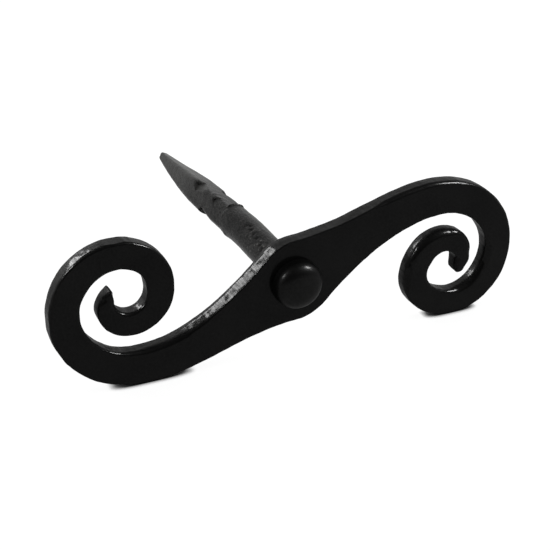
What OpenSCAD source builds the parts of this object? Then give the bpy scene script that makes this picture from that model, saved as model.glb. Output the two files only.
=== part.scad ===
// Shutter dog: an S-scroll plate that turns on a riveted wall spike.
// Frame: X along the plate, Y along the spike into the wall, Z up, millimetres.
// The origin is on the spike's axis, at the shoulder that backs the plate.

/* [Scroll plate] */
// Thickness of the plate
plate_t = 6; // [4:0.5:8]
// Radius of the round corners of the boss, about the pivot
boss_r = 16.1; // [14:0.1:18]
// Where the boss passes into the back of an arm, as an angle at the pivot
back_angle = 92; // [86:1:98]
// Where the boss passes into the belly of an arm, as an angle at the pivot
belly_angle = 136; // [128:1:142]

/* [Arms] */
// Pull of the boss on the back edge of an arm
back_root_pull = 26; // [18:0.5:32]
// Pull of the scroll on the back edge of an arm
back_scroll_pull = 25.5; // [18:0.5:32]
// Pull of the boss on the belly edge of an arm
belly_root_pull = 17; // [10:0.5:22]
// Pull of the scroll on the belly edge of an arm
belly_scroll_pull = 21; // [14:0.5:26]

/* [Scrolls] */
// Distance from the pivot to the centre of a scroll, along the plate
scroll_x = 64.7; // [60:0.1:72]
// Drop of the right scroll's centre below the pivot
scroll_drop = 6.5; // [4:0.1:9]
// Radius of the outer edge, straight above the scroll's centre
outer_r = 34.3; // [32:0.1:38]
// Share of its radius that the outer edge keeps over each quarter turn
outer_ratio = 0.802; // [0.78:0.001:0.82]
// Sweep past the top at which the outer edge starts
outer_start_angle = 10; // [0:1:20]
// Sweep past the top at which the outer edge ends in the nose
outer_end_angle = 500; // [490:1:510]
// Sweep past the top from which the outer edge tightens
outer_nose_angle = 373; // [360:1:400]
// How fast the outer edge tightens towards the nose
outer_tighten_ratio = 0.3; // [0.2:0.01:0.4]
// Radius of the inner edge, straight above the scroll's centre
inner_r = 21.7; // [20:0.1:23]
// Share of its radius that the inner edge keeps over each quarter turn
inner_ratio = 0.79; // [0.77:0.001:0.8]
// Sweep past the top at which the inner edge starts
inner_start_angle = -4; // [-12:1:6]
// Sweep past the top at which the inner edge ends in the nose
inner_end_angle = 438; // [425:1:445]
// How fast the inner edge tightens
inner_tighten_ratio = 0.026; // [0.02:0.001:0.03]
// How far the corner of the nose is rounded back
nose_round = 1.2; // [0.6:0.1:2]

/* [Pivot] */
// Diameter of the spike's tenon, on which the plate turns
tenon_d = 9.5; // [7:0.1:11]
// Running clearance between the tenon and the plate's bore, on the radius
tenon_gap = 0.05; // [0.02:0.01:0.1]
// End play between the plate and the shoulder, and between the plate and the head
end_play = 0.1; // [0.05:0.05:0.3]

/* [Rivet head] */
// Diameter of the head at its seat
head_d = 19; // [18.6:0.2:24]
// Diameter of the head where its shoulder starts to round
head_top_d = 18.2; // [15:0.1:18.6]
// Height of the head over the middle
head_h = 6.6; // [5:0.1:7.5]
// Rise of the shallow dome on top of the head
head_dome = 0.5; // [0.3:0.1:1.2]
// Rounding of the head's shoulder
head_round = 2.4; // [1:0.1:3]
// How far the hand-riveted head lies below the axis of the shank
head_drop = 0.4; // [0:0.1:1]

/* [Shank] */
// Diameter of the round shank that is driven into the wall
shank_d = 12.7; // [12.4:0.1:14]
// Length of the round shank
shank_len = 52; // [40:1:80]

/* [Point] */
// Length of the square point, from the round shank to the tip
point_len = 79; // [70:1:90]
// Length of the taper at the end of the point
taper_len = 45; // [36:1:48]
// Width of the square point across its flats
flat_w = 10.5; // [9.6:0.1:11]
// Width of the blunt tip
tip_w = 2.6; // [1.6:0.1:3.4]
// Turn of the point's corners about the spike
corner_turn = 28; // [0:1:45]
// Lean of the hand-forged point, away from the axis of the shank
point_lean = 2.6; // [0:0.1:4]
// Which way the point leans, as an angle about the spike
lean_turn = 218; // [0:1:359]
// How far the point starts inside the outline of the shank, to enter the same hole
point_clear = 0.3; // [0.2:0.05:0.6]
// How much further inside that outline the point's corners lie at the tip
point_draw = 1.2; // [0.6:0.1:2]

/* [Barbs] */
// Depth of the barb cuts in the point's corners
barb_depth = 1.5; // [0.6:0.1:2]
// Length of the barb's face, on the tip's side of each cut
barb_face = 3; // [1:0.5:4]
// Length of the slope on the shank's side of each cut
barb_slope = 9; // [6:0.5:10]
// Distance from the start of the point to the barbs on the side corners
barb_at = 20; // [18:1:24]
// How far the barbs on the other two corners lie before and behind those
barb_stagger = 9; // [6:0.5:10]

/* [Hidden] */
$fn = 96;
edge_angle = 4;
arm_steps = 20;
round_steps = 8;
heading_angle = 1;
over = 1;

plate_back = -end_play;
plate_front = plate_back - plate_t;
head_seat = plate_front - end_play;
shank_r = shank_d / 2;
point_r = shank_r - point_clear;
taper_at = point_len - taper_len;
scroll_c = [scroll_x, -scroll_drop];

function dir(a) = [cos(a), sin(a)];
function unit(v) = v / norm(v);
function steps(n) = [for (i = [0:n]) i / n];
function arc(c, r, a0, a1, n) = [for (t = steps(n)) c + r * dir(a0 + (a1 - a0) * t)];
function bezier(p, n) = [
    for (t = steps(n))
        pow(1 - t, 3) * p[0] + 3 * pow(1 - t, 2) * t * p[1] + 3 * (1 - t) * t * t * p[2] + pow(t, 3) * p[3]
];

// Edges of the right scroll: the sweep s runs clockwise from straight above its centre
function outer_point(s) =
    let (q = s / 90, past = max(0, s - outer_nose_angle) / 90)
    scroll_c + outer_r * pow(outer_ratio, q) * exp(-outer_tighten_ratio * past * past) * dir(90 - s);
function inner_point(s) =
    let (q = s / 90)
    scroll_c + inner_r * pow(inner_ratio, q) * exp(-inner_tighten_ratio * q * q) * dir(90 - s);
function outer_heading(s) = unit(outer_point(s + heading_angle) - outer_point(s - heading_angle));
function inner_heading(s) = unit(inner_point(s + heading_angle) - inner_point(s - heading_angle));
function sweep(s0, s1) = [s0 : (s1 - s0) / ceil((s1 - s0) / edge_angle) : s1 - edge_angle / 2];

// The back and the belly of the right arm run from the boss to the scroll
function back_edge() =
    let (root = boss_r * dir(back_angle), end = outer_point(outer_start_angle))
    bezier([
        root,
        root + back_root_pull * dir(back_angle - 90),
        end - back_scroll_pull * outer_heading(outer_start_angle),
        end
    ], arm_steps);
function belly_edge() =
    let (root = boss_r * dir(belly_angle + 180), end = inner_point(inner_start_angle))
    bezier([
        end,
        end - belly_scroll_pull * inner_heading(inner_start_angle),
        root + belly_root_pull * dir(belly_angle - 90),
        root
    ], arm_steps);

// The nose is the corner between the two edges, rounded back
function nose() =
    let (
        corner = outer_point(outer_end_angle),
        outside = corner - nose_round * outer_heading(outer_end_angle),
        inside = corner + nose_round * unit(inner_point(inner_end_angle) - corner)
    )
    bezier([outside, (outside + 2 * corner) / 3, (inside + 2 * corner) / 3, inside], round_steps);

function half_outline() = concat(
    arc([0, 0], boss_r, belly_angle, back_angle, round_steps),
    back_edge(),
    [for (s = sweep(outer_start_angle + edge_angle, outer_end_angle - edge_angle * 3)) outer_point(s)],
    nose(),
    [
        for (s = sweep(inner_start_angle, inner_end_angle))
            inner_point(inner_start_angle + inner_end_angle - s)
    ],
    belly_edge()
);

// Turns a shape drawn in the plane of the plate, and raised to +Z, so that it rises towards +Y
module into_wall(y) {
    translate([0, y, 0])
        rotate([-90, 0, 0])
            children();
}

module plate_outline() {
    half = half_outline();
    mirror([0, 1])
        polygon(concat(half, -half));
}

module scroll_plate() {
    color([0.07, 0.07, 0.07])
        into_wall(plate_front)
            difference() {
                linear_extrude(plate_t)
                    plate_outline();
                translate([0, 0, -over])
                    cylinder(d = tenon_d + 2 * tenon_gap, h = plate_t + 2 * over);
            }
}

module rivet_head() {
    edge_h = head_h - head_dome;
    round_r = min(head_round, edge_h);
    flat_r = head_top_d / 2 - round_r;
    dome_r = (flat_r * flat_r + head_dome * head_dome) / (2 * head_dome);
    dome_a = asin(flat_r / dome_r);
    rotate_extrude()
        polygon(concat(
            [[0, 0], [head_d / 2, 0]],
            arc([flat_r, edge_h - round_r], round_r, 0, 90, round_steps),
            arc([0, head_h - dome_r], dome_r, 90 - dome_a, 90, round_steps)
        ));
}

// Side view of the point: straight flats, then a taper to a rounded tip
module point_side() {
    tip_r = tip_w / 2;
    translate([0, 0, -shank_d])
        linear_extrude(2 * shank_d)
            polygon(concat(
                [[-over, flat_w / 2], [-over, -flat_w / 2], [taper_at, -flat_w / 2]],
                arc([point_len - tip_r, 0], tip_r, -90, 90, round_steps),
                [[taper_at, flat_w / 2]]
            ));
}

// A chisel cut across one corner, with its steeper face towards the tip
module barb_cut(corner, at) {
    rotate([0, 0, corner])
        rotate([90, 0, 0])
            linear_extrude(shank_d, center = true)
                polygon([
                    [shank_r - barb_depth, at],
                    [shank_r + barb_depth, at + 2 * barb_face],
                    [shank_r + barb_depth, at - 2 * barb_slope]
                ]);
}

module point() {
    side_corner = -corner_turn;
    difference() {
        intersection() {
            translate([0, 0, -over])
                cylinder(d = shank_d, h = point_len + over);
            intersection_for (turn = [45, 135])
                rotate([0, 0, side_corner + turn])
                    rotate([0, -90, 0])
                        point_side();
        }
        for (side = [0, 180]) {
            barb_cut(side_corner + side, barb_at);
            for (shift = [-barb_stagger, barb_stagger])
                barb_cut(side_corner + side + 90, barb_at + shift);
        }
    }
}

module spike() {
    color([0.12, 0.12, 0.115])
        union() {
            into_wall(head_seat)
                translate([0, head_drop, 0])
                    mirror([0, 0, 1])
                        rivet_head();
            into_wall(head_seat - over)
                cylinder(d = tenon_d, h = over - head_seat + over);
            into_wall(0)
                cylinder(d = shank_d, h = shank_len);
            into_wall(shank_len)
                intersection() {
                    translate([0, 0, -over])
                        cylinder(r1 = point_r, r2 = point_r - point_draw, h = point_len + 2 * over);
                    rotate([0, 0, -lean_turn])
                        rotate([0, point_lean, 0])
                            rotate([0, 0, lean_turn])
                                point();
                }
        }
}

scroll_plate();
spike();
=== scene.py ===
import math
import bmesh
import bpy
from mathutils import Matrix, Vector, noise


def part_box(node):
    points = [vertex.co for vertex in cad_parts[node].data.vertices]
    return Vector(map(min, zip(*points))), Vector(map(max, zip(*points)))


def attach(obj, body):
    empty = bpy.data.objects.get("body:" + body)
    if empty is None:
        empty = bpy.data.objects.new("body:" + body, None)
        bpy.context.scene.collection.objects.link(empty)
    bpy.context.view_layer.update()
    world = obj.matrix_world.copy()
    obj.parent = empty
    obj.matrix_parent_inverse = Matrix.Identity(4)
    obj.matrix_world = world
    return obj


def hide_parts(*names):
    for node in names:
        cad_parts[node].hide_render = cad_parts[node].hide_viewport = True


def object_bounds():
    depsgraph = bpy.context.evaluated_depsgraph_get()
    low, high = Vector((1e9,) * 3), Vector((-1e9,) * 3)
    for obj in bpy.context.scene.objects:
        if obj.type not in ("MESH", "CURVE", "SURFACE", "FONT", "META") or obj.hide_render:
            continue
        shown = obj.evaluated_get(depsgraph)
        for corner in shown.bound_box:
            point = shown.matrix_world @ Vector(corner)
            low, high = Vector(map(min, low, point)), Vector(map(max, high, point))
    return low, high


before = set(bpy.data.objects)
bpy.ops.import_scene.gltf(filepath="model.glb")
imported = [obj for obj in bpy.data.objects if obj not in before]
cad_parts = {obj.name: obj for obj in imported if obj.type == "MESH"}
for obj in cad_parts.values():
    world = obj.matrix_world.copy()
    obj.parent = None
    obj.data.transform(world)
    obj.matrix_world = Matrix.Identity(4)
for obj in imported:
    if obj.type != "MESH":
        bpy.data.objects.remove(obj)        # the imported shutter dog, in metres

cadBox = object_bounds()
mm = 0.001
weld = 0.001 * mm        # points closer than this become one
near = 0.01 * mm         # points this close to a plane lie on it
print("frame loaded:", ", ".join(sorted(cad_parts)))


# One socket of a shader tree, so that shader maths reads as plain expressions
class Value:
    def __init__(self, tree, socket):
        self.tree = tree
        self.socket = socket

    def math(self, operation, *others, flip=False):
        node = self.tree.nodes.new("ShaderNodeMath")
        node.operation = operation
        parts = [self, *others]
        if flip:
            parts.reverse()
        for slot, part in zip(node.inputs, parts):
            plug(self.tree, slot, part)
        return Value(self.tree, node.outputs[0])

    def __add__(self, other):
        return self.math("ADD", other)

    def __radd__(self, other):
        return self.math("ADD", other, flip=True)

    def __sub__(self, other):
        return self.math("SUBTRACT", other)

    def __rsub__(self, other):
        return self.math("SUBTRACT", other, flip=True)

    def __mul__(self, other):
        return self.math("MULTIPLY", other)

    def __rmul__(self, other):
        return self.math("MULTIPLY", other, flip=True)

    def __gt__(self, other):
        return self.math("GREATER_THAN", other)


def plug(tree, slot, part):
    if isinstance(part, Value):
        tree.links.new(part.socket, slot)
    else:
        slot.default_value = part


# A node tree with one method that adds any node
class Shader:
    def __init__(self, tree):
        self.tree = tree
        tree.nodes.clear()

    def add(self, kind, settings=None, inputs=None, output=0):
        node = self.tree.nodes.new("ShaderNode" + kind)
        for name, setting in (settings or {}).items():
            setattr(node, name, setting)
        for name, part in (inputs or {}).items():
            plug(self.tree, node.inputs[name], part)
        return Value(self.tree, node.outputs[output]) if node.outputs else None


def newMaterial(name):
    material = bpy.data.materials.new(name)
    material.use_nodes = True
    return material, Shader(material.node_tree)


def ramp(sh, value, low, high):
    inputs = {"Value": value, "From Min": low, "From Max": high}
    return sh.add("MapRange", {"clamp": True}, inputs)


def noiseField(sh, place, field):
    return sh.add("TexNoise", {"noise_dimensions": "3D"}, {
        "Vector": place,
        "Scale": field["scale"],
        "Detail": field["detail"],
        "Roughness": field["rough"],
    })


def mixed(sh, share, first, second):
    colourResult = 2     # a Mix node's outputs are a number, a vector and a colour
    inputs = {"Factor": share, "A": first, "B": second}
    return sh.add("Mix", {"data_type": "RGBA"}, inputs, colourResult)


def stretched(sh, place, stretch):
    return sh.add("VectorMath", {"operation": "MULTIPLY"}, {0: place, 1: stretch})


def distanceTo(sh, place, spot):
    return sh.add("VectorMath", {"operation": "DISTANCE"}, {0: place, 1: spot}, "Value")


def partOf(sh, vector, axis):
    return sh.add("SeparateXYZ", inputs={"Vector": vector}, output=axis)


def bumpOf(sh, relief):
    return sh.add("Bump", inputs={"Strength": 1.0, "Distance": 1.0, "Height": relief})


# Thin glossy paint over black, paler on the cut edges and dull at the noses of the scrolls
platePaint = {
    "black": (0.0016, 0.0016, 0.0016, 1.0),
    "worn": (0.0050, 0.0050, 0.0047, 1.0),
    "edge": (0.0090, 0.0090, 0.0086, 1.0),
    "faceTurn": (0.3, 0.9),          # from an edge to a face, by the part of the normal along the spike
    "edgeTurn": (0.08, 0.38),        # the same for the edge's colour, which stays off the rims
    "rough": 0.45,
    "roughSpread": 0.25,
    "shine": 0.02,
    "coat": 0.105,
    "coatShares": {"even": 0.4, "cloud": 0.5, "streaks": 0.7},
    "sideCoat": 1.0,
    "coatRough": 0.15,
    "coatIndex": 1.5,
    "dull": {"share": 0.15, "at": (0.0700, -0.003, -0.0095), "reach": (0.0045, 0.0085)},
    "peel": {"scale": 900.0, "detail": 3.0, "rough": 0.6},
    "peelDepth": 0.000025,
    "wave": {"scale": 220.0, "detail": 3.0, "rough": 0.5},
    "waveDepth": 0.00008,
    "cloud": {"scale": 70.0, "detail": 4.0, "rough": 0.6},
    "wear": {"peel": 0.4, "range": (0.5, 0.9)},
    "mottle": {"scale": 1300.0, "detail": 2.0, "rough": 0.7},
    "mottleRange": (0.3, 0.7),
    "drag": {"scale": 1400.0, "detail": 2.0, "rough": 0.6},
    "dragStretch": (1.0, 0.06, 1.0),
    "dragRange": (0.32, 0.68),
    "dragGain": 1.5,
    "dragDrop": 0.2,
}


def glossPaint(sh, coords, look):
    facing = sh.add("TexCoord", output="Normal")
    across = partOf(sh, facing, "Y").math("ABSOLUTE")
    flat = ramp(sh, across, *look["faceTurn"])
    dull = look["dull"]
    x, y, z = dull["at"]
    toNoses = distanceTo(sh, coords, (x, y, z)).math("MINIMUM", distanceTo(sh, coords, (-x, y, -z)))
    bright = ramp(sh, toNoses, *dull["reach"])
    gloss = look["coat"] * (1 - (1 - dull["share"]) * (1 - bright) * (1 - flat))
    peel = noiseField(sh, coords, look["peel"])
    wave = noiseField(sh, coords, look["wave"])
    cloud = noiseField(sh, coords, look["cloud"])
    mottle = ramp(sh, noiseField(sh, coords, look["mottle"]), *look["mottleRange"])
    lines = noiseField(sh, stretched(sh, coords, look["dragStretch"]), look["drag"])
    dragged = look["dragGain"] * ramp(sh, lines, *look["dragRange"]) - look["dragDrop"]
    streaks = flat * mottle + (1 - flat) * dragged
    shares = look["coatShares"]
    uneven = shares["even"] + shares["cloud"] * cloud + shares["streaks"] * streaks
    sides = look["sideCoat"] + (1 - look["sideCoat"]) * flat
    wear = ramp(sh, cloud + look["wear"]["peel"] * peel, *look["wear"]["range"])
    face = mixed(sh, wear, look["black"], look["worn"])
    return sh.add("BsdfPrincipled", inputs={
        "Base Color": mixed(sh, ramp(sh, across, *look["edgeTurn"]), look["edge"], face),
        "Roughness": look["rough"] + look["roughSpread"] * peel,
        "Specular IOR Level": look["shine"],
        "Coat Weight": gloss * uneven * sides,
        "Coat Roughness": look["coatRough"],
        "Coat IOR": look["coatIndex"],
        "Normal": bumpOf(sh, peel * look["peelDepth"] + wave * look["waveDepth"]),
    })


def makePlatePaint(look):
    material, sh = newMaterial("platePaint")
    coords = sh.add("TexCoord", output="Object")
    sh.add("OutputMaterial", inputs={"Surface": glossPaint(sh, coords, look)})
    return material


# Thinner, duller paint on the rough forging, and the plate's gloss, softer, on its head
headPaint = {
    **platePaint,
    "edge": platePaint["black"],
    "coat": 0.135,
    "sideCoat": 0.07,
    "coatRough": 0.27,
}
spikePaint = {
    "black": (0.006, 0.006, 0.0058, 1.0),
    "grey": (0.050, 0.0494, 0.0472, 1.0),
    # pale grey of the painted glints on the shank near the plate
    "paintedGlintGrey": (0.16, 0.158, 0.15, 1.0),
    "headEnd": -0.0061,
    "rough": 0.34,
    "roughSpread": 0.2,
    "shine": 0.04,
    "grain": {"scale": 1700.0, "detail": 3.0, "rough": 0.6},
    "grainStretch": (1.0, 0.5, 1.0),
    "grainDepth": 0.0002,
    "patch": {"scale": 130.0, "detail": 4.0, "rough": 0.6},
    "tone": {"grain": 1.6, "range": (1.18, 1.84)},
    # the point is painted paler than the shank, a painted sheen standing in for the surround's gloss on
    # it
    "tipSheen": {"share": 0.7, "depth": (0.05, 0.11)},      # towards the tip
    "pitScale": 420.0,
    "pits": {"size": (0.0, 0.28), "patch": (0.5, 0.65)},
    "pitDepth": 0.00014,
    # the pale specks near the plate are painted glints
    "glintSpecks": {"size": (0.1, 0.3), "patch": (0.42, 0.55), "depth": (0.016, 0.036)},
}


def cellMarks(sh, cells, patch, mark):
    return (1 - ramp(sh, cells, *mark["size"])) * ramp(sh, patch, *mark["patch"])


def makeSpikePaint(look, gloss):
    material, sh = newMaterial("spikePaint")
    coords = sh.add("TexCoord", output="Object")
    depth = partOf(sh, coords, "Y")
    grain = noiseField(sh, stretched(sh, coords, look["grainStretch"]), look["grain"])
    patch = noiseField(sh, coords, look["patch"])
    cells = sh.add("TexVoronoi", {"feature": "F1"}, {
        "Vector": coords,
        "Scale": look["pitScale"],
        "Randomness": 1.0,
    })
    pits = cellMarks(sh, cells, patch, look["pits"])
    # Painted glints: pale specks on the shank, only near the plate
    glintSpecks = cellMarks(sh, cells, patch, look["glintSpecks"]) * (1 - ramp(sh, depth, *look["glintSpecks"]["depth"]))
    # Painted sheen: the paint turns paler towards the point
    tipSheen = look["tipSheen"]["share"] * ramp(sh, depth, *look["tipSheen"]["depth"])
    tone = ramp(sh, patch + look["tone"]["grain"] * grain + tipSheen, *look["tone"]["range"])
    forged = sh.add("BsdfPrincipled", inputs={
        "Base Color": mixed(sh, glintSpecks, mixed(sh, tone, look["black"], look["grey"]), look["paintedGlintGrey"]),
        "Roughness": look["rough"] + look["roughSpread"] * (grain - 0.5),
        "Specular IOR Level": look["shine"],
        "Normal": bumpOf(sh, grain * look["grainDepth"] - pits * look["pitDepth"]),
    })
    head = glossPaint(sh, coords, gloss)
    both = sh.add("MixShader", inputs={0: depth > look["headEnd"], 1: head, 2: forged})
    sh.add("OutputMaterial", inputs={"Surface": both})
    return material


def meshObject(name, bm, material, body, node):
    mesh = bpy.data.meshes.new(name)
    bm.to_mesh(mesh)
    bm.free()
    for face in mesh.polygons:
        face.use_smooth = True
    mesh.materials.append(material)
    piece = bpy.data.objects.new(name, mesh)
    bpy.context.scene.collection.objects.link(piece)
    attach(piece, body)
    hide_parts(node)
    return piece


def copyOfNode(node):
    bm = bmesh.new()
    bm.from_mesh(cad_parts[node].data)
    bmesh.ops.remove_doubles(bm, verts=bm.verts, dist=2 * weld)
    return bm


def span(start, end, step):
    count = max(1, round(abs(end - start) / step))
    return [start + (end - start) * i / count for i in range(1, count + 1)]


def easy(value, low, high):
    t = max(0.0, min(1.0, (value - low) / (high - low)))
    return t * t * (3 - 2 * t)


def turnFrom(angle, middle):
    return (angle - middle + 180.0) % 360.0 - 180.0


# The plate in millimetres and degrees, with x and z of its front: its rims are rounded, more so where
# the scrolls were drawn out, and wavy
plateCut = {
    "step": 0.32,
    "flatAngle": 0.5,
    "rimAngle": 60.0,
    "bore": {"radius": 4.8, "segments": 96, "reach": 8.0},
    "outset": 0.24,
    "rim": {"arm": 0.5, "scroll": 1.25, "near": 36.0, "far": 48.0, "steps": 8},
    "under": {"radius": 0.45, "turn": 0.5},
    "end": {"at": (69.5, -11.3), "least": 0.5, "rate": 0.55},
    "nudges": [
        {"at": (69.6, -10.8), "by": (1.3, -0.3), "reach": 2.2},
        {"at": (-68.3, 10.2), "by": (-1.2, -0.2), "reach": 2.5},
        {"at": (-67.6, 5.5), "by": (-0.5, 0.0), "reach": 3.5},
        {"at": (67.9, -9.8), "by": (-0.9, -1.3), "reach": 1.7},
        {"at": (-70.4, 12.4), "by": (0.5, 0.7), "reach": 1.8},
        {"at": (-57.8, 9.8), "by": (-0.75, 0.0), "reach": 5.0},
        {"at": (-74.5, 3.0), "by": (-0.3, 0.0), "reach": 4.0},
        {"at": (-80.0, 4.0), "by": (0.3, 0.0), "reach": 3.0},
        {"at": (57.0, -8.0), "by": (0.4, 0.0), "reach": 5.0},
        {"at": (63.5, -15.5), "by": (0.0, 0.35), "reach": 5.0},
        {"at": (10.0, 16.5), "by": (0.0, 0.3), "reach": 8.0},
        {"at": (-84.0, -15.0), "by": (0.0, 0.35), "reach": 14.0},
        {"at": (47.0, -16.0), "by": (-0.9, -0.45), "reach": 10.0},
        {"at": (43.0, 11.0), "by": (0.1, -0.35), "reach": 10.0},
        {"at": (28.0, -6.0), "by": (0.15, -0.35), "reach": 14.0},
    ],
    "blunt": {"at": (70.5, -10.9), "reach": 3.0, "times": 8},
    "softPeak": 1.5,
    "softSpots": [
        {"at": (46.1, -9.2), "radius": 3.0, "reach": 8.0},
        {"at": (48.6, 1.0), "radius": 3.2, "reach": 7.0},
        {"at": (52.6, 5.6), "radius": 3.2, "reach": 7.0},
        {"at": (61.2, 8.6), "radius": 3.2, "reach": 7.0},
        {"at": (69.3, 5.7), "radius": 2.2, "reach": 7.0},
        {"at": (73.2, -16.4), "radius": 2.8, "reach": 6.0},
        {"at": (77.4, -12.5), "radius": 3.2, "reach": 6.0},
        {"at": (80.2, -6.9), "radius": 3.2, "reach": 6.0},
        {"at": (67.5, -6.9), "radius": 2.4, "reach": 4.0},
        {"at": (-74.0, 7.7), "radius": 2.8, "reach": 6.0},
        {"at": (-72.0, 10.0), "radius": 2.4, "reach": 5.0},
        {"at": (-60.2, -15.3), "radius": 1.6, "reach": 7.0},
        {"at": (-53.5, -17.4), "radius": 2.2, "reach": 7.0},
        {"at": (-46.5, -15.6), "radius": 2.4, "reach": 7.0},
        {"at": (-39.1, -10.8), "radius": 1.4, "reach": 6.0},
        {"at": (40.9, 26.1), "radius": 1.7, "reach": 7.0},
        {"at": (48.0, 27.6), "radius": 1.8, "reach": 7.0},
        {"at": (55.6, 27.9), "radius": 1.9, "reach": 7.0},
        {"at": (64.3, 26.7), "radius": 1.9, "reach": 7.0},
    ],
    "sideSteps": 7,
    "backRim": {"inset": 0.15, "curve": 1.3, "deep": 2.3, "round": 0.25, "steps": 7},
    "strip": {"from": -44.0, "to": -7.0, "soft": 5.0, "facing": (0.2, 0.6),
              "inset": 0.4, "outset": 0.45, "tilt": 1.05},
    "waves": [{"size": 7.5, "height": 0.15}, {"size": 2.4, "height": 0.09}],
    "drag": {"size": 0.75, "height": 0.03, "drawn": 0.06},
    "hammered": {"size": 1.1, "height": 0.03, "near": 44.0, "far": 56.0, "smooths": 0.85},
    "sharpAngle": 60.0,
    "flatWeight": 100,
}


# Corner points of the plate's outline on its front, walked in order, in millimetres
def outlineOf(node, front, cut):
    bm = copyOfNode(node)
    flat, rim = math.radians(cut["flatAngle"]), math.radians(cut["rimAngle"])
    bmesh.ops.dissolve_limit(bm, angle_limit=flat, verts=bm.verts, edges=bm.edges)
    bm.edges.index_update()
    rims = {e for e in bm.edges if e.calc_face_angle(0.0) > rim
            and all(abs(v.co.y - front) < near for v in e.verts)
            and all(math.hypot(v.co.x, v.co.z) > cut["bore"]["reach"] * mm for v in e.verts)}
    edge = min(rims, key=lambda e: e.index)
    walked = [edge.verts[0]]
    while edge:
        rims.discard(edge)
        walked.append(edge.other_vert(walked[-1]))
        edge = next((e for e in walked[-1].link_edges if e in rims), None)
    points = [Vector((v.co.x, v.co.z)) / mm for v in walked[:-1]]
    bm.free()
    return points


# A closed curve through the points, at an even step
def evenLoop(points, step):
    loop = []
    count = len(points)
    for i in range(count):
        before, start, stop, after = (points[(i + k) % count] for k in (-1, 0, 1, 2))
        parts = max(1, round((stop - start).length / step))
        for k in range(parts):
            t = k / parts
            bend = (stop - before) * t + (2 * before - 5 * start + 4 * stop - after) * t * t
            loop.append(start + (bend + (3 * start - before - 3 * stop + after) * t ** 3) / 2)
    return loop


# The hand-worked outline, with one end of the scrolls pointed and one blunt
def workedEnds(loop, cut):
    for nudge in cut["nudges"]:
        for point in loop:
            away = (point - Vector(nudge["at"])).length / nudge["reach"]
            point += Vector(nudge["by"]) * math.exp(-away * away)
    blunt = cut["blunt"]
    close = [i for i, p in enumerate(loop) if (p - Vector(blunt["at"])).length < blunt["reach"]]
    for _ in range(blunt["times"]):
        moved = [(loop[i - 1] + loop[(i + 1) % len(loop)]) / 2 for i in close]
        for i, point in zip(close, moved):
            loop[i] = point
    return loop


# Directions into the plate from the points of its outline
def inwardOf(loop):
    count = len(loop)
    area = sum(p.cross(q) for p, q in zip(loop, loop[1:] + loop[:1]))
    side = 1 if area > 0 else -1
    runs = [(loop[(i + 2) % count] - loop[i - 2]).normalized() for i in range(count)]
    return [Vector((-run.y, run.x)) * side for run in runs]


# Rounding of the front rim: less below an arm, and limited at the noses of the scrolls
def rimRound(cut, point, inward):
    rim, under, end = cut["rim"], cut["under"], cut["end"]
    radius = rim["arm"] + (rim["scroll"] - rim["arm"]) * easy(abs(point.x), rim["near"], rim["far"])
    for spot in cut["softSpots"]:
        away = (point - Vector(spot["at"])).length / spot["reach"]
        share = min(1.0, cut["softPeak"] * math.exp(-away * away))
        radius += max(0.0, spot["radius"] - radius) * share
    radius += (under["radius"] - radius) * easy(inward.y, 0.0, under["turn"])
    toEnd = min((point - Vector(end["at"])).length, (point + Vector(end["at"])).length)
    return min(radius, end["least"] + end["rate"] * toEnd)


# How far each row of the rim lies inside the outline, and how deep behind the front
def rimRow(cut, radius, row, thick, strip):
    rim, back = cut["rim"], cut["backRim"]
    if row <= rim["steps"]:
        a = math.pi / 2 * row / rim["steps"]
        return radius * (1 - math.sin(a)), radius * (1 - math.cos(a))
    row -= rim["steps"]
    if row <= cut["sideSteps"]:
        return 0.0, radius + (thick - radius - back["deep"]) * row / cut["sideSteps"]
    row -= cut["sideSteps"]
    t = row / back["steps"]
    inset = (back["inset"] + cut["strip"]["inset"] * strip) * t ** back["curve"]
    if row == back["steps"]:
        inset += back["round"]
    return inset, thick - back["deep"] * (1 - t)


# Drag lines across the cut edges of the arms, and small lumps on the worked scrolls
def edgeMarks(cut, at):
    drag, hammered = cut["drag"], cut["hammered"]
    worked = easy(abs(at.x), hammered["near"], hammered["far"])
    lines = noise.noise(Vector((at.x, at.y * drag["drawn"], at.z)) / drag["size"])
    lumps = noise.noise(at / hammered["size"])
    lines *= 1 - hammered["smooths"] * worked
    return drag["height"] * lines + hammered["height"] * lumps * worked


# How far a point of the outline belongs to the sheared edge of the left arm
def stripShare(cut, point, inward):
    strip = cut["strip"]
    share = easy(point.x, strip["from"] - strip["soft"], strip["from"] + strip["soft"])
    share *= easy(point.x, strip["to"] + strip["soft"], strip["to"] - strip["soft"])
    return share * easy(-inward.y, *strip["facing"])


# The rims and sides: a grid whose columns follow the outline and whose rows run from front to back
def bendBand(bm, cut, low, high):
    loop = workedEnds(evenLoop(outlineOf("scroll_plate", low.y, cut), cut["step"]), cut)
    inward = inwardOf(loop)
    columns = len(loop)
    rows = cut["rim"]["steps"] + cut["sideSteps"] + cut["backRim"]["steps"]
    thick = (high.y - low.y) / mm
    bmesh.ops.create_grid(bm, x_segments=columns, y_segments=rows, size=1.0)
    for v in bm.verts:
        i = round((v.co.x + 1) / 2 * columns) % columns
        row = round((v.co.y + 1) / 2 * rows)
        strip = stripShare(cut, loop[i], inward[i])
        inset, deep = rimRow(cut, rimRound(cut, loop[i], inward[i]), row, thick, strip)
        inset -= cut["outset"] + cut["strip"]["outset"] * strip
        inset += cut["strip"]["tilt"] * strip * (1 - deep / thick)
        at = Vector((loop[i].x, deep, loop[i].y))
        for wave in cut["waves"]:
            inset += wave["height"] * noise.noise(at / wave["size"])
        inset += edgeMarks(cut, at)
        place = (loop[i] + inward[i] * inset) * mm
        x = max(low.x, min(high.x, place.x))
        z = max(low.z, min(high.z, place.y))
        v.co = (x, low.y + deep * mm, z)
    bmesh.ops.remove_doubles(bm, verts=bm.verts, dist=weld)


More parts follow.
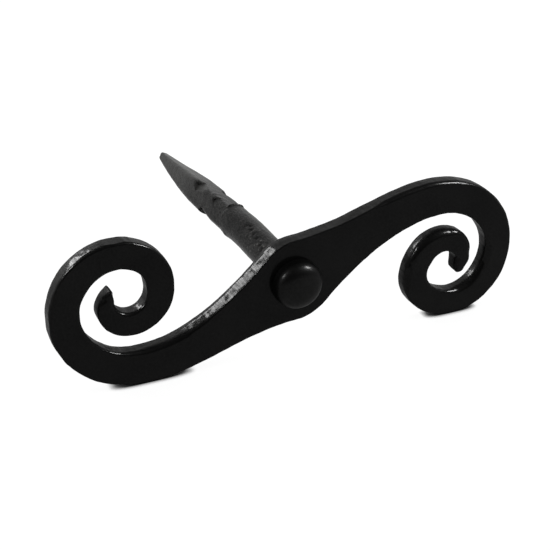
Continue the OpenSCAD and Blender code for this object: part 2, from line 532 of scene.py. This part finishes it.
# The two flats of the plate, and the bore between them
def closePlate(bm, cut, low, high):
    bore = cut["bore"]
    for y in (low.y, high.y):
        turned = Matrix.Translation((0.0, y, 0.0)) @ Matrix.Rotation(math.pi / 2, 4, "X")
        bmesh.ops.create_circle(bm, cap_ends=False, segments=bore["segments"],
                                radius=bore["radius"] * mm, matrix=turned)
    openEdges = [e for e in bm.edges if len(e.link_faces) < 2]
    boreEdges = [e for e in openEdges if not e.link_faces]
    for y, ahead in ((low.y, -1.0), (high.y, 1.0)):
        lid = [e for e in openEdges if abs(e.verts[0].co.y - y) < near]
        bmesh.ops.triangle_fill(bm, use_beauty=True, edges=lid, normal=(0.0, ahead, 0.0))
    bmesh.ops.bridge_loops(bm, edges=boreEdges)
    bmesh.ops.recalc_face_normals(bm, faces=bm.faces)


def makePlate(cut):
    low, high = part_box("scroll_plate")
    bm = bmesh.new()
    bendBand(bm, cut, low, high)
    closePlate(bm, cut, low, high)
    piece = meshObject("scrollPlate", bm, makePlatePaint(platePaint), "plate", "scroll_plate")
    piece.data.set_sharp_from_angle(angle=math.radians(cut["sharpAngle"]))
    even = piece.modifiers.new("evenFlats", "WEIGHTED_NORMAL")
    even.weight = cut["flatWeight"]
    even.keep_sharp = True
    return piece


# The spike as it left the forge, in millimetres and degrees: y runs into the wall, angles about y
spikeForge = {
    "columns": 144,
    "head": {"front": -12.79, "seat": -6.2, "radius": 9.5, "top": 9.35, "dome": 4.9, "square": 2.5,
             "sweep": 89.94, "drop": 0.4},
    "tenon": {"radius": 4.7, "end": 0.0},
    "shank": {"radius": 6.48, "end": 52.0, "step": 0.4, "fine": 2.0, "blend": 0.6},
    "steps": {"dome": 2.86, "side": 0.6, "seat": 1.0, "tenon": 1.5, "shoulder": 0.6, "tip": 9.0},
    "bend": {"shift": 0.12, "shiftOver": (1.0, 10.0), "start": 36.0, "soft": (-4.0, 12.0), "rate": 0.042,
             "toward": 218.0, "easeFrom": 100.0, "ease": 0.0008},
    "point": {"end": 130.9, "step": 0.28, "flat": 5.3, "corner": 6.35, "soft": 0.6,
              "turn": 118.0, "twist": -8.0, "twistFrom": 70.0, "twistOver": 60.0,
              "taperStart": 84.0, "taperSoft": 0.06, "bulge": 1.2, "tipShare": 0.24, "tip": 2.0},
    "ridge": {"at": 51.9, "rise": 0.8, "height": 0.55, "fall": 1.8,
              "angle": 76.0, "width": 34.0, "soft": 0.3},
    "barbs": [
        {"turn": 0.0, "at": 83.2, "depth": 1.5},
        {"turn": 0.0, "at": 64.0, "depth": 0.6},
        {"turn": 90.0, "at": 73.5, "depth": 1.1},
        {"turn": 180.0, "at": 81.0, "depth": 1.4},
        {"turn": 180.0, "at": 64.0, "depth": 1.3},
        {"turn": 270.0, "at": 73.5, "depth": 1.3},
    ],
    "barbCut": {"slope": 10.0, "face": 0.9, "sweep": 0.11, "reach": 60.0, "soft": 0.12,
                "lip": 0.3, "lipLength": 5.0, "lipWidth": 24.0},
    "burrs": [
        {"at": 48.0, "angle": 212.0, "height": 0.4, "length": 1.8, "width": 14.0},
        {"at": 67.5, "angle": 95.0, "height": 0.25, "length": 1.2, "width": 16.0},
        {"at": 83.0, "angle": 112.0, "height": -0.6, "length": 0.9, "width": 7.0},
        {"at": 63.8, "angle": 117.0, "height": -0.28, "length": 0.7, "width": 6.0},
        {"at": 73.2, "angle": 205.0, "height": -0.5, "length": 0.7, "width": 8.0},
        {"at": 33.4, "angle": 115.0, "height": -0.56, "length": 0.7, "width": 6.0},
        {"at": 31.6, "angle": 107.0, "height": -0.48, "length": 0.9, "width": 5.0},
        {"at": 29.0, "angle": 112.0, "height": -0.48, "length": 0.8, "width": 7.0},
        {"at": 25.5, "angle": 118.0, "height": -0.3, "length": 0.8, "width": 6.0},
        {"at": 22.0, "angle": 121.0, "height": -0.35, "length": 0.7, "width": 6.0},
        {"at": 17.5, "angle": 128.0, "height": -0.56, "length": 0.8, "width": 7.0},
        {"at": 15.6, "angle": 122.0, "height": 0.2, "length": 0.7, "width": 5.0},
        {"at": 13.8, "angle": 133.0, "height": -0.56, "length": 0.9, "width": 6.0},
        {"at": 11.0, "angle": 136.0, "height": -0.25, "length": 0.8, "width": 6.0},
    ],
    "burrReach": 3.0,
    "uneven": [{"size": 5.0, "height": 0.10}, {"size": 1.2, "height": 0.06}],
    "drawn": 0.5,
    "smoothUntil": {"depth": 3.0, "radius": 1.5},
    "sharpAngle": 55.0,
}


# Rows of the spike's skin from the middle of the head to the tip, each a depth and a radius
def spikeRows(forge):
    head, tenon, shank, point = forge["head"], forge["tenon"], forge["shank"], forge["point"]
    steps = forge["steps"]
    power = 2 / head["square"]
    side = head["front"] + head["dome"]
    flare = (head["radius"] - head["top"]) / (head["seat"] - side)
    fine = shank["end"] - shank["fine"]
    tip = point["end"] - point["tip"]
    rows = [(head["front"], 0.0)]
    for angle in span(0.0, head["sweep"], steps["dome"]):
        a = math.radians(angle)
        rows.append((side - head["dome"] * math.cos(a) ** power, head["top"] * math.sin(a) ** power))
    rows += [(y, head["top"] + flare * (y - side)) for y in span(side, head["seat"], steps["side"])]
    rows += [(head["seat"], r) for r in span(head["radius"], tenon["radius"], steps["seat"])]
    rows += [(y, tenon["radius"]) for y in span(head["seat"], tenon["end"], steps["tenon"])]
    rows += [(tenon["end"], r) for r in span(tenon["radius"], shank["radius"], steps["shoulder"])]
    rows += [(y, shank["radius"]) for y in span(tenon["end"], fine, shank["step"])]
    rows += [(y, shank["radius"]) for y in span(fine, tip, point["step"])]
    rows += [(tip + point["tip"] * math.sin(math.radians(angle)), shank["radius"])
             for angle in span(0.0, 90.0, steps["tip"])]
    return rows


def softLeast(a, b, soft):
    blend = max(0.0, soft - abs(a - b)) / soft
    return min(a, b) - blend * blend * soft / 4


# Radius of the square point at a depth and angle, with its rounded corners, its barbs and its tip
def pointRadius(forge, y, angle):
    point, cut = forge["point"], forge["barbCut"]
    taper = max(0.0, y - point["taperStart"]) / (point["end"] - point["taperStart"])
    taper = (math.hypot(taper, point["taperSoft"]) - point["taperSoft"]) ** point["bulge"]
    share = 1 - (1 - point["tipShare"]) * taper
    turn = point["turn"] + point["twist"] * max(0.0, y - point["twistFrom"]) / point["twistOver"]
    corner = point["corner"] * share
    flat = point["flat"] * share / math.cos(math.radians((angle - turn) % 90.0 - 45.0))
    radius = softLeast(corner, flat, point["soft"] * share)
    for barb in forge["barbs"]:
        away = turnFrom(angle, turn + barb["turn"])
        if abs(away) > cut["reach"]:
            continue
        past = y - barb["at"] + cut["sweep"] * abs(away)
        if past < 0.0:
            sunk = barb["depth"] * max(0.0, 1 + past / cut["slope"])
        else:
            sunk = barb["depth"] * (1 - past / cut["face"])
        radius = softLeast(radius, (corner - sunk) / math.cos(math.radians(away)), cut["soft"])
        if past > 0.0:
            lip = cut["lip"] * easy(past, 0.0, cut["face"]) * math.exp(-past / cut["lipLength"])
            radius += lip * math.exp(-(away / cut["lipWidth"]) ** 2)
    past = max(0.0, y - point["end"] + point["tip"]) / point["tip"]
    return radius * math.sqrt(max(0.0, 1 - past * past))


# Radius of the skin behind the plate: shank and point, the ridge between them, burrs, pits and lumps
def forgedRadius(forge, y, radius, angle):
    shank, ridge, smooth = forge["shank"], forge["ridge"], forge["smoothUntil"]
    square = easy(y, shank["end"] - shank["blend"], shank["end"] + shank["blend"])
    if square > 0.0:
        radius += (pointRadius(forge, y, angle) - radius) * square
    top = ridge["at"] + ridge["rise"]
    high = easy(y, ridge["at"], top) * (1 - easy(y, top, ridge["at"] + ridge["fall"]))
    outer, inner = ridge["width"] * (1 + ridge["soft"]), ridge["width"] * (1 - ridge["soft"])
    high *= easy(abs(turnFrom(angle, ridge["angle"])), outer, inner)
    radius += max(0.0, (shank["radius"] + ridge["height"] - radius) * high)
    for burr in forge["burrs"]:
        across = turnFrom(angle, burr["angle"]) / burr["width"]
        along = (y - burr["at"]) / burr["length"]
        if max(abs(across), abs(along)) < forge["burrReach"]:
            radius += burr["height"] * math.exp(-across * across - along * along)
    fade = easy(y, 0.0, smooth["depth"]) * easy(radius, 0.0, smooth["radius"])
    a = math.radians(angle)
    at = Vector((radius * math.cos(a), y * forge["drawn"], radius * math.sin(a)))
    for wave in forge["uneven"]:
        radius += fade * wave["height"] * noise.noise(at / wave["size"])
    return radius


# A point of the skin, on the bent and leaning spike with its low head
def spikeSkin(forge, y, radius, angle):
    bend, head = forge["bend"], forge["head"]
    if y > 0.0:
        radius = forgedRadius(forge, y, radius, angle)
    past = max(0.0, y - bend["start"])
    lean = bend["rate"] * past * easy(past, *bend["soft"])
    lean -= bend["ease"] * max(0.0, y - bend["easeFrom"]) ** 2
    lean += bend["shift"] * easy(y, *bend["shiftOver"])
    drop = head["drop"] if y <= head["seat"] else 0.0
    a, toward = math.radians(angle), math.radians(bend["toward"])
    x = radius * math.cos(a) + lean * math.cos(toward)
    z = radius * math.sin(a) + lean * math.sin(toward) - drop
    return Vector((x, y, z))


def makeSpike(forge):
    rows = spikeRows(forge)
    columns, last = forge["columns"], len(rows) - 1
    bm = bmesh.new()
    bmesh.ops.create_grid(bm, x_segments=columns, y_segments=last, size=1.0)
    for v in bm.verts:
        column = round((v.co.x + 1) / 2 * columns) % columns
        y, radius = rows[round((v.co.y + 1) / 2 * last)]
        v.co = spikeSkin(forge, y, radius, 360.0 * column / columns) * mm
    bmesh.ops.remove_doubles(bm, verts=bm.verts, dist=weld)
    bmesh.ops.recalc_face_normals(bm, faces=bm.faces)
    piece = meshObject("wallSpike", bm, makeSpikePaint(spikePaint, headPaint), "spike", "spike")
    piece.data.set_sharp_from_angle(angle=math.radians(forge["sharpAngle"]))


plate = makePlate(plateCut)
print("plate cut and painted")
makeSpike(spikeForge)
print("spike forged and painted")


# The camera, worked out from the half-turn symmetry of the plate in the photograph
photoCamera = {
    "pictureSize": 550,
    "focalPixels": 1350.0,
    "pivotPixel": (295.98, 281.30),
    "pivotDistance": 494.1 * mm,
    "azimuth": math.radians(-24.045),
    "elevation": math.radians(27.828),
    "sensorWidth": 36.0,
    "clipStart": 0.01,
}


def makeCamera(view):
    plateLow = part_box("scroll_plate")[0]
    az, el = view["azimuth"], view["elevation"]
    back = Vector((math.sin(az) * math.cos(el), -math.cos(az) * math.cos(el), math.sin(el)))
    right = Vector((math.cos(az), math.sin(az), 0.0))
    up = back.cross(right)
    half = view["pictureSize"] / 2
    offRight = (view["pivotPixel"][0] - half) / view["focalPixels"]
    offUp = (half - view["pivotPixel"][1]) / view["focalPixels"]
    pivot = Vector((0.0, plateLow.y, 0.0))
    place = pivot + view["pivotDistance"] * (back - offRight * right - offUp * up)
    lens = bpy.data.cameras.new("photoCamera")
    lens.sensor_width = view["sensorWidth"]
    lens.lens = view["sensorWidth"] * view["focalPixels"] / view["pictureSize"]
    lens.clip_start = view["clipStart"]
    camera = bpy.data.objects.new("photoCamera", lens)
    turn = Matrix((right, up, back)).transposed()
    camera.matrix_world = Matrix.Translation(place) @ turn.to_4x4()
    bpy.context.scene.collection.objects.link(camera)
    bpy.context.scene.camera = camera


# Soft studio light: a white floor, a pale surround behind, dim above and in front, and a few soft boxes
studio = {
    "floorSize": 8.0,
    "floorGrey": (0.2, 0.2, 0.2, 1.0),
    "floorGlow": 0.92,
    "white": (1.0, 1.0, 1.0, 1.0),
    "dark": (0.0, 0.0, 0.0, 1.0),
    # painted contact shadow on the floor: how near something must stand, and how dark it gets
    "paintedContactShadow": {"reach": 0.0030, "samples": 16, "range": (0.38, 0.85)},
    "horizon": (1.7, 1.7, 1.7, 1.0),
    "behind": (1.45, 1.45, 1.45, 1.0),
    "above": (0.08, 0.08, 0.08, 1.0),
    "infront": (0.05, 0.05, 0.05, 1.0),
    "horizonHeight": (0.1, 0.4),
    "aboveHeight": (0.6, 0.75),
    "infrontDepth": (-0.35, 0.15),
    "boxes": {
        "overhead": {
            "toward": (0.1, -0.1, 1.0), "size": 1.6, "distance": 1.5,
            "radiance": 1.2, "only": "diffuse",
        },
        "backLeft": {
            "toward": (-0.495, 0.68, 0.54), "size": 0.26, "distance": 0.7,
            "radiance": 49.0, "only": "glossy", "plateOnly": True,
        },
        "left": {
            "toward": (-0.80, -0.12, 0.57), "size": 0.14, "distance": 0.7,
            "radiance": 150.0, "only": "glossy",
        },
        "above": {
            "toward": (0.71, -0.38, 0.60), "size": 0.18, "distance": 0.7,
            "radiance": 130.0, "only": "glossy",
        },
    },
}


# The floor glows white to the camera and in the gloss, and the glow is dimmed next to what stands on it,
# a painted contact shadow
def makeFloor(look):
    bm = bmesh.new()
    bmesh.ops.create_grid(bm, x_segments=1, y_segments=1, size=look["floorSize"] / 2)
    bmesh.ops.translate(bm, verts=bm.verts, vec=(0.0, 0.0, cadBox[0][2]))
    mesh = bpy.data.meshes.new("studioFloor")
    bm.to_mesh(mesh)
    bm.free()
    material, sh = newMaterial("studioWhite")
    seen = sh.add("LightPath", output="Is Camera Ray") + sh.add("LightPath", output="Is Glossy Ray")
    seen = (seen + sh.add("LightPath", output="Is Transmission Ray")).math("MINIMUM", 1.0)
    # Painted contact shadow: the glow darkens where something stands close to the floor
    paintedContactShadow = look["paintedContactShadow"]
    settings, inputs = {"samples": paintedContactShadow["samples"]}, {"Distance": paintedContactShadow["reach"]}
    free = sh.add("AmbientOcclusion", settings, inputs, "AO")
    shown = mixed(sh, seen * ramp(sh, free, *paintedContactShadow["range"]), look["dark"], look["white"])
    lit = sh.add("BsdfDiffuse", inputs={"Color": look["floorGrey"]})
    glow = sh.add("Emission", inputs={"Color": shown, "Strength": look["floorGlow"]})
    both = sh.add("AddShader", inputs={0: lit, 1: glow})
    sh.add("OutputMaterial", inputs={"Surface": both})
    mesh.materials.append(material)
    floor = bpy.data.objects.new("studioFloor", mesh)
    bpy.context.scene.collection.objects.link(floor)


def makeSurround(look):
    world = bpy.data.worlds.new("studioSurround")
    world.use_nodes = True
    bpy.context.scene.world = world
    sh = Shader(world.node_tree)
    ray = sh.add("TexCoord", output="Generated")
    depth, height = partOf(sh, ray, "Y"), partOf(sh, ray, "Z")
    low = mixed(sh, ramp(sh, height, *look["horizonHeight"]), look["horizon"], look["behind"])
    back = mixed(sh, ramp(sh, height, *look["aboveHeight"]), low, look["above"])
    around = mixed(sh, ramp(sh, depth, *look["infrontDepth"]), look["infront"], back)
    light = sh.add("Background", inputs={"Color": around, "Strength": 1.0})
    sh.add("OutputWorld", inputs={"Surface": light})


# A box lights only the gloss or only the paint beneath, and one of them only the plate
def makeBoxes(look, plate):
    lit = bpy.data.collections.new("lightOnPlate")
    lit.objects.link(plate)
    for name, box in look["boxes"].items():
        lamp = bpy.data.lights.new(name, "AREA")
        lamp.shape = "SQUARE"
        lamp.size = box["size"]
        lamp.energy = box["radiance"] * math.pi * box["size"] ** 2
        place = bpy.data.objects.new(name, lamp)
        toward = Vector(box["toward"]).normalized()
        place.location = toward * box["distance"]
        place.rotation_euler = toward.to_track_quat("Z", "Y").to_euler()
        place.visible_glossy = box["only"] == "glossy"
        place.visible_diffuse = box["only"] == "diffuse"
        if "plateOnly" in box:
            place.light_linking.receiver_collection = lit
        bpy.context.scene.collection.objects.link(place)


makeCamera(photoCamera)
makeFloor(studio)
makeSurround(studio)
makeBoxes(studio, plate)
bpy.context.scene.view_settings.view_transform = "Standard"
print("camera, floor and lights set")

print("box of the solids", [list(c) for c in cadBox])
